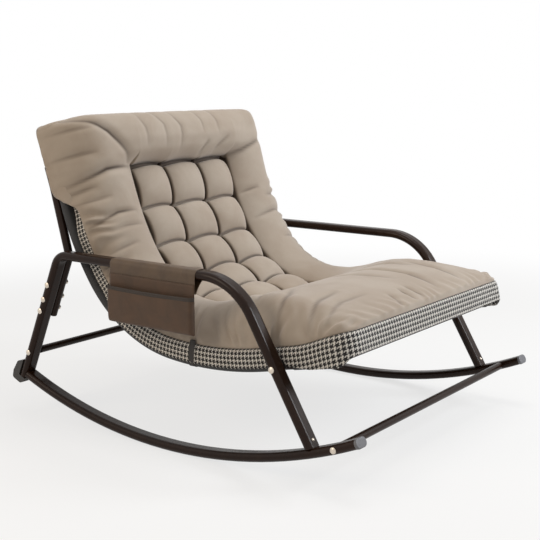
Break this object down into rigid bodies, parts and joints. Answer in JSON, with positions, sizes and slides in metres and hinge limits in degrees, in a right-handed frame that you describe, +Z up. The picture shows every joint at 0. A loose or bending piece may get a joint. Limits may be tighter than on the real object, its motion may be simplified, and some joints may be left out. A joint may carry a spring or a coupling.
{
  "type": "rocking chaise lounge",
  "caption": "Rocking chaise lounge with flat-oval tube rockers and arms, a sling seat under a deep tufted cushion with a head roll, and a sliding armrest organiser with a pocket.",
  "frame": {"origin": "on the floor, midway between the side frames, where the rockers touch it at rest", "axes": "+X to the sitter's left, +Y to the rear, +Z up"},
  "size_m": [1.0224, 1.2467, 0.8988],
  "materials": {
    "frame_paint": "gloss dark brown powder coat",
    "bolt_steel": "bright domed heads",
    "grey_plastic": "satin grey moulding",
    "dark_plastic": "satin dark moulding",
    "sling_cloth": "black woven sling cloth",
    "taupe_cloth": "soft taupe cloth with a light sheen",
    "houndstooth_cloth": "woven houndstooth in taupe and black",
    "organiser_cloth": "dark brown woven cloth",
    "binding_cloth": "dark ribbed binding tape",
    "tie_tape": "dark woven tape"
  },
  "bodies": {
    "chair": {"left_rocker": "frame_paint", "right_rocker": "frame_paint", "left_arm_frame": "frame_paint", "right_arm_frame": "frame_paint", "left_rocker_cap": "grey_plastic", "right_rocker_cap": "grey_plastic", "left_rear_heel": "dark_plastic", "right_rear_heel": "dark_plastic", "front_crossbar": "frame_paint", "rear_crossbar": "frame_paint", "left_seat_rail": "frame_paint", "right_seat_rail": "frame_paint", "seat_front_tube": "frame_paint", "under_seat_tube": "frame_paint", "back_top_tube": "frame_paint", "left_back_brace": "frame_paint", "right_back_brace": "frame_paint", "seat_bolts": "bolt_steel", "seat_nuts": "bolt_steel", "rear_leg_bolts": "bolt_steel", "rear_leg_nuts": "bolt_steel", "front_crossbar_bolts": "bolt_steel", "rear_crossbar_bolts": "bolt_steel", "front_crossbar_inserts": "dark_plastic", "rear_crossbar_inserts": "dark_plastic", "seat_spacers": "dark_plastic", "foot_screws": "bolt_steel", "brace_end_plugs": "dark_plastic", "seat_rail_plugs": "dark_plastic", "sling": "sling_cloth", "cushion_base": "houndstooth_cloth", "cushion_top": "taupe_cloth", "cushion_ties": "tie_tape"},
    "organiser": {"organiser_sleeve": "organiser_cloth", "organiser_back": "organiser_cloth", "organiser_pocket": "organiser_cloth", "pocket_binding": "binding_cloth"}
  },
  "joints": [
    {"name": "organiser_slide", "type": "slide", "parent": "chair", "child": "organiser", "axis": [0, 1, 0], "range_m": [-0.015, 0.18]}
  ]
}
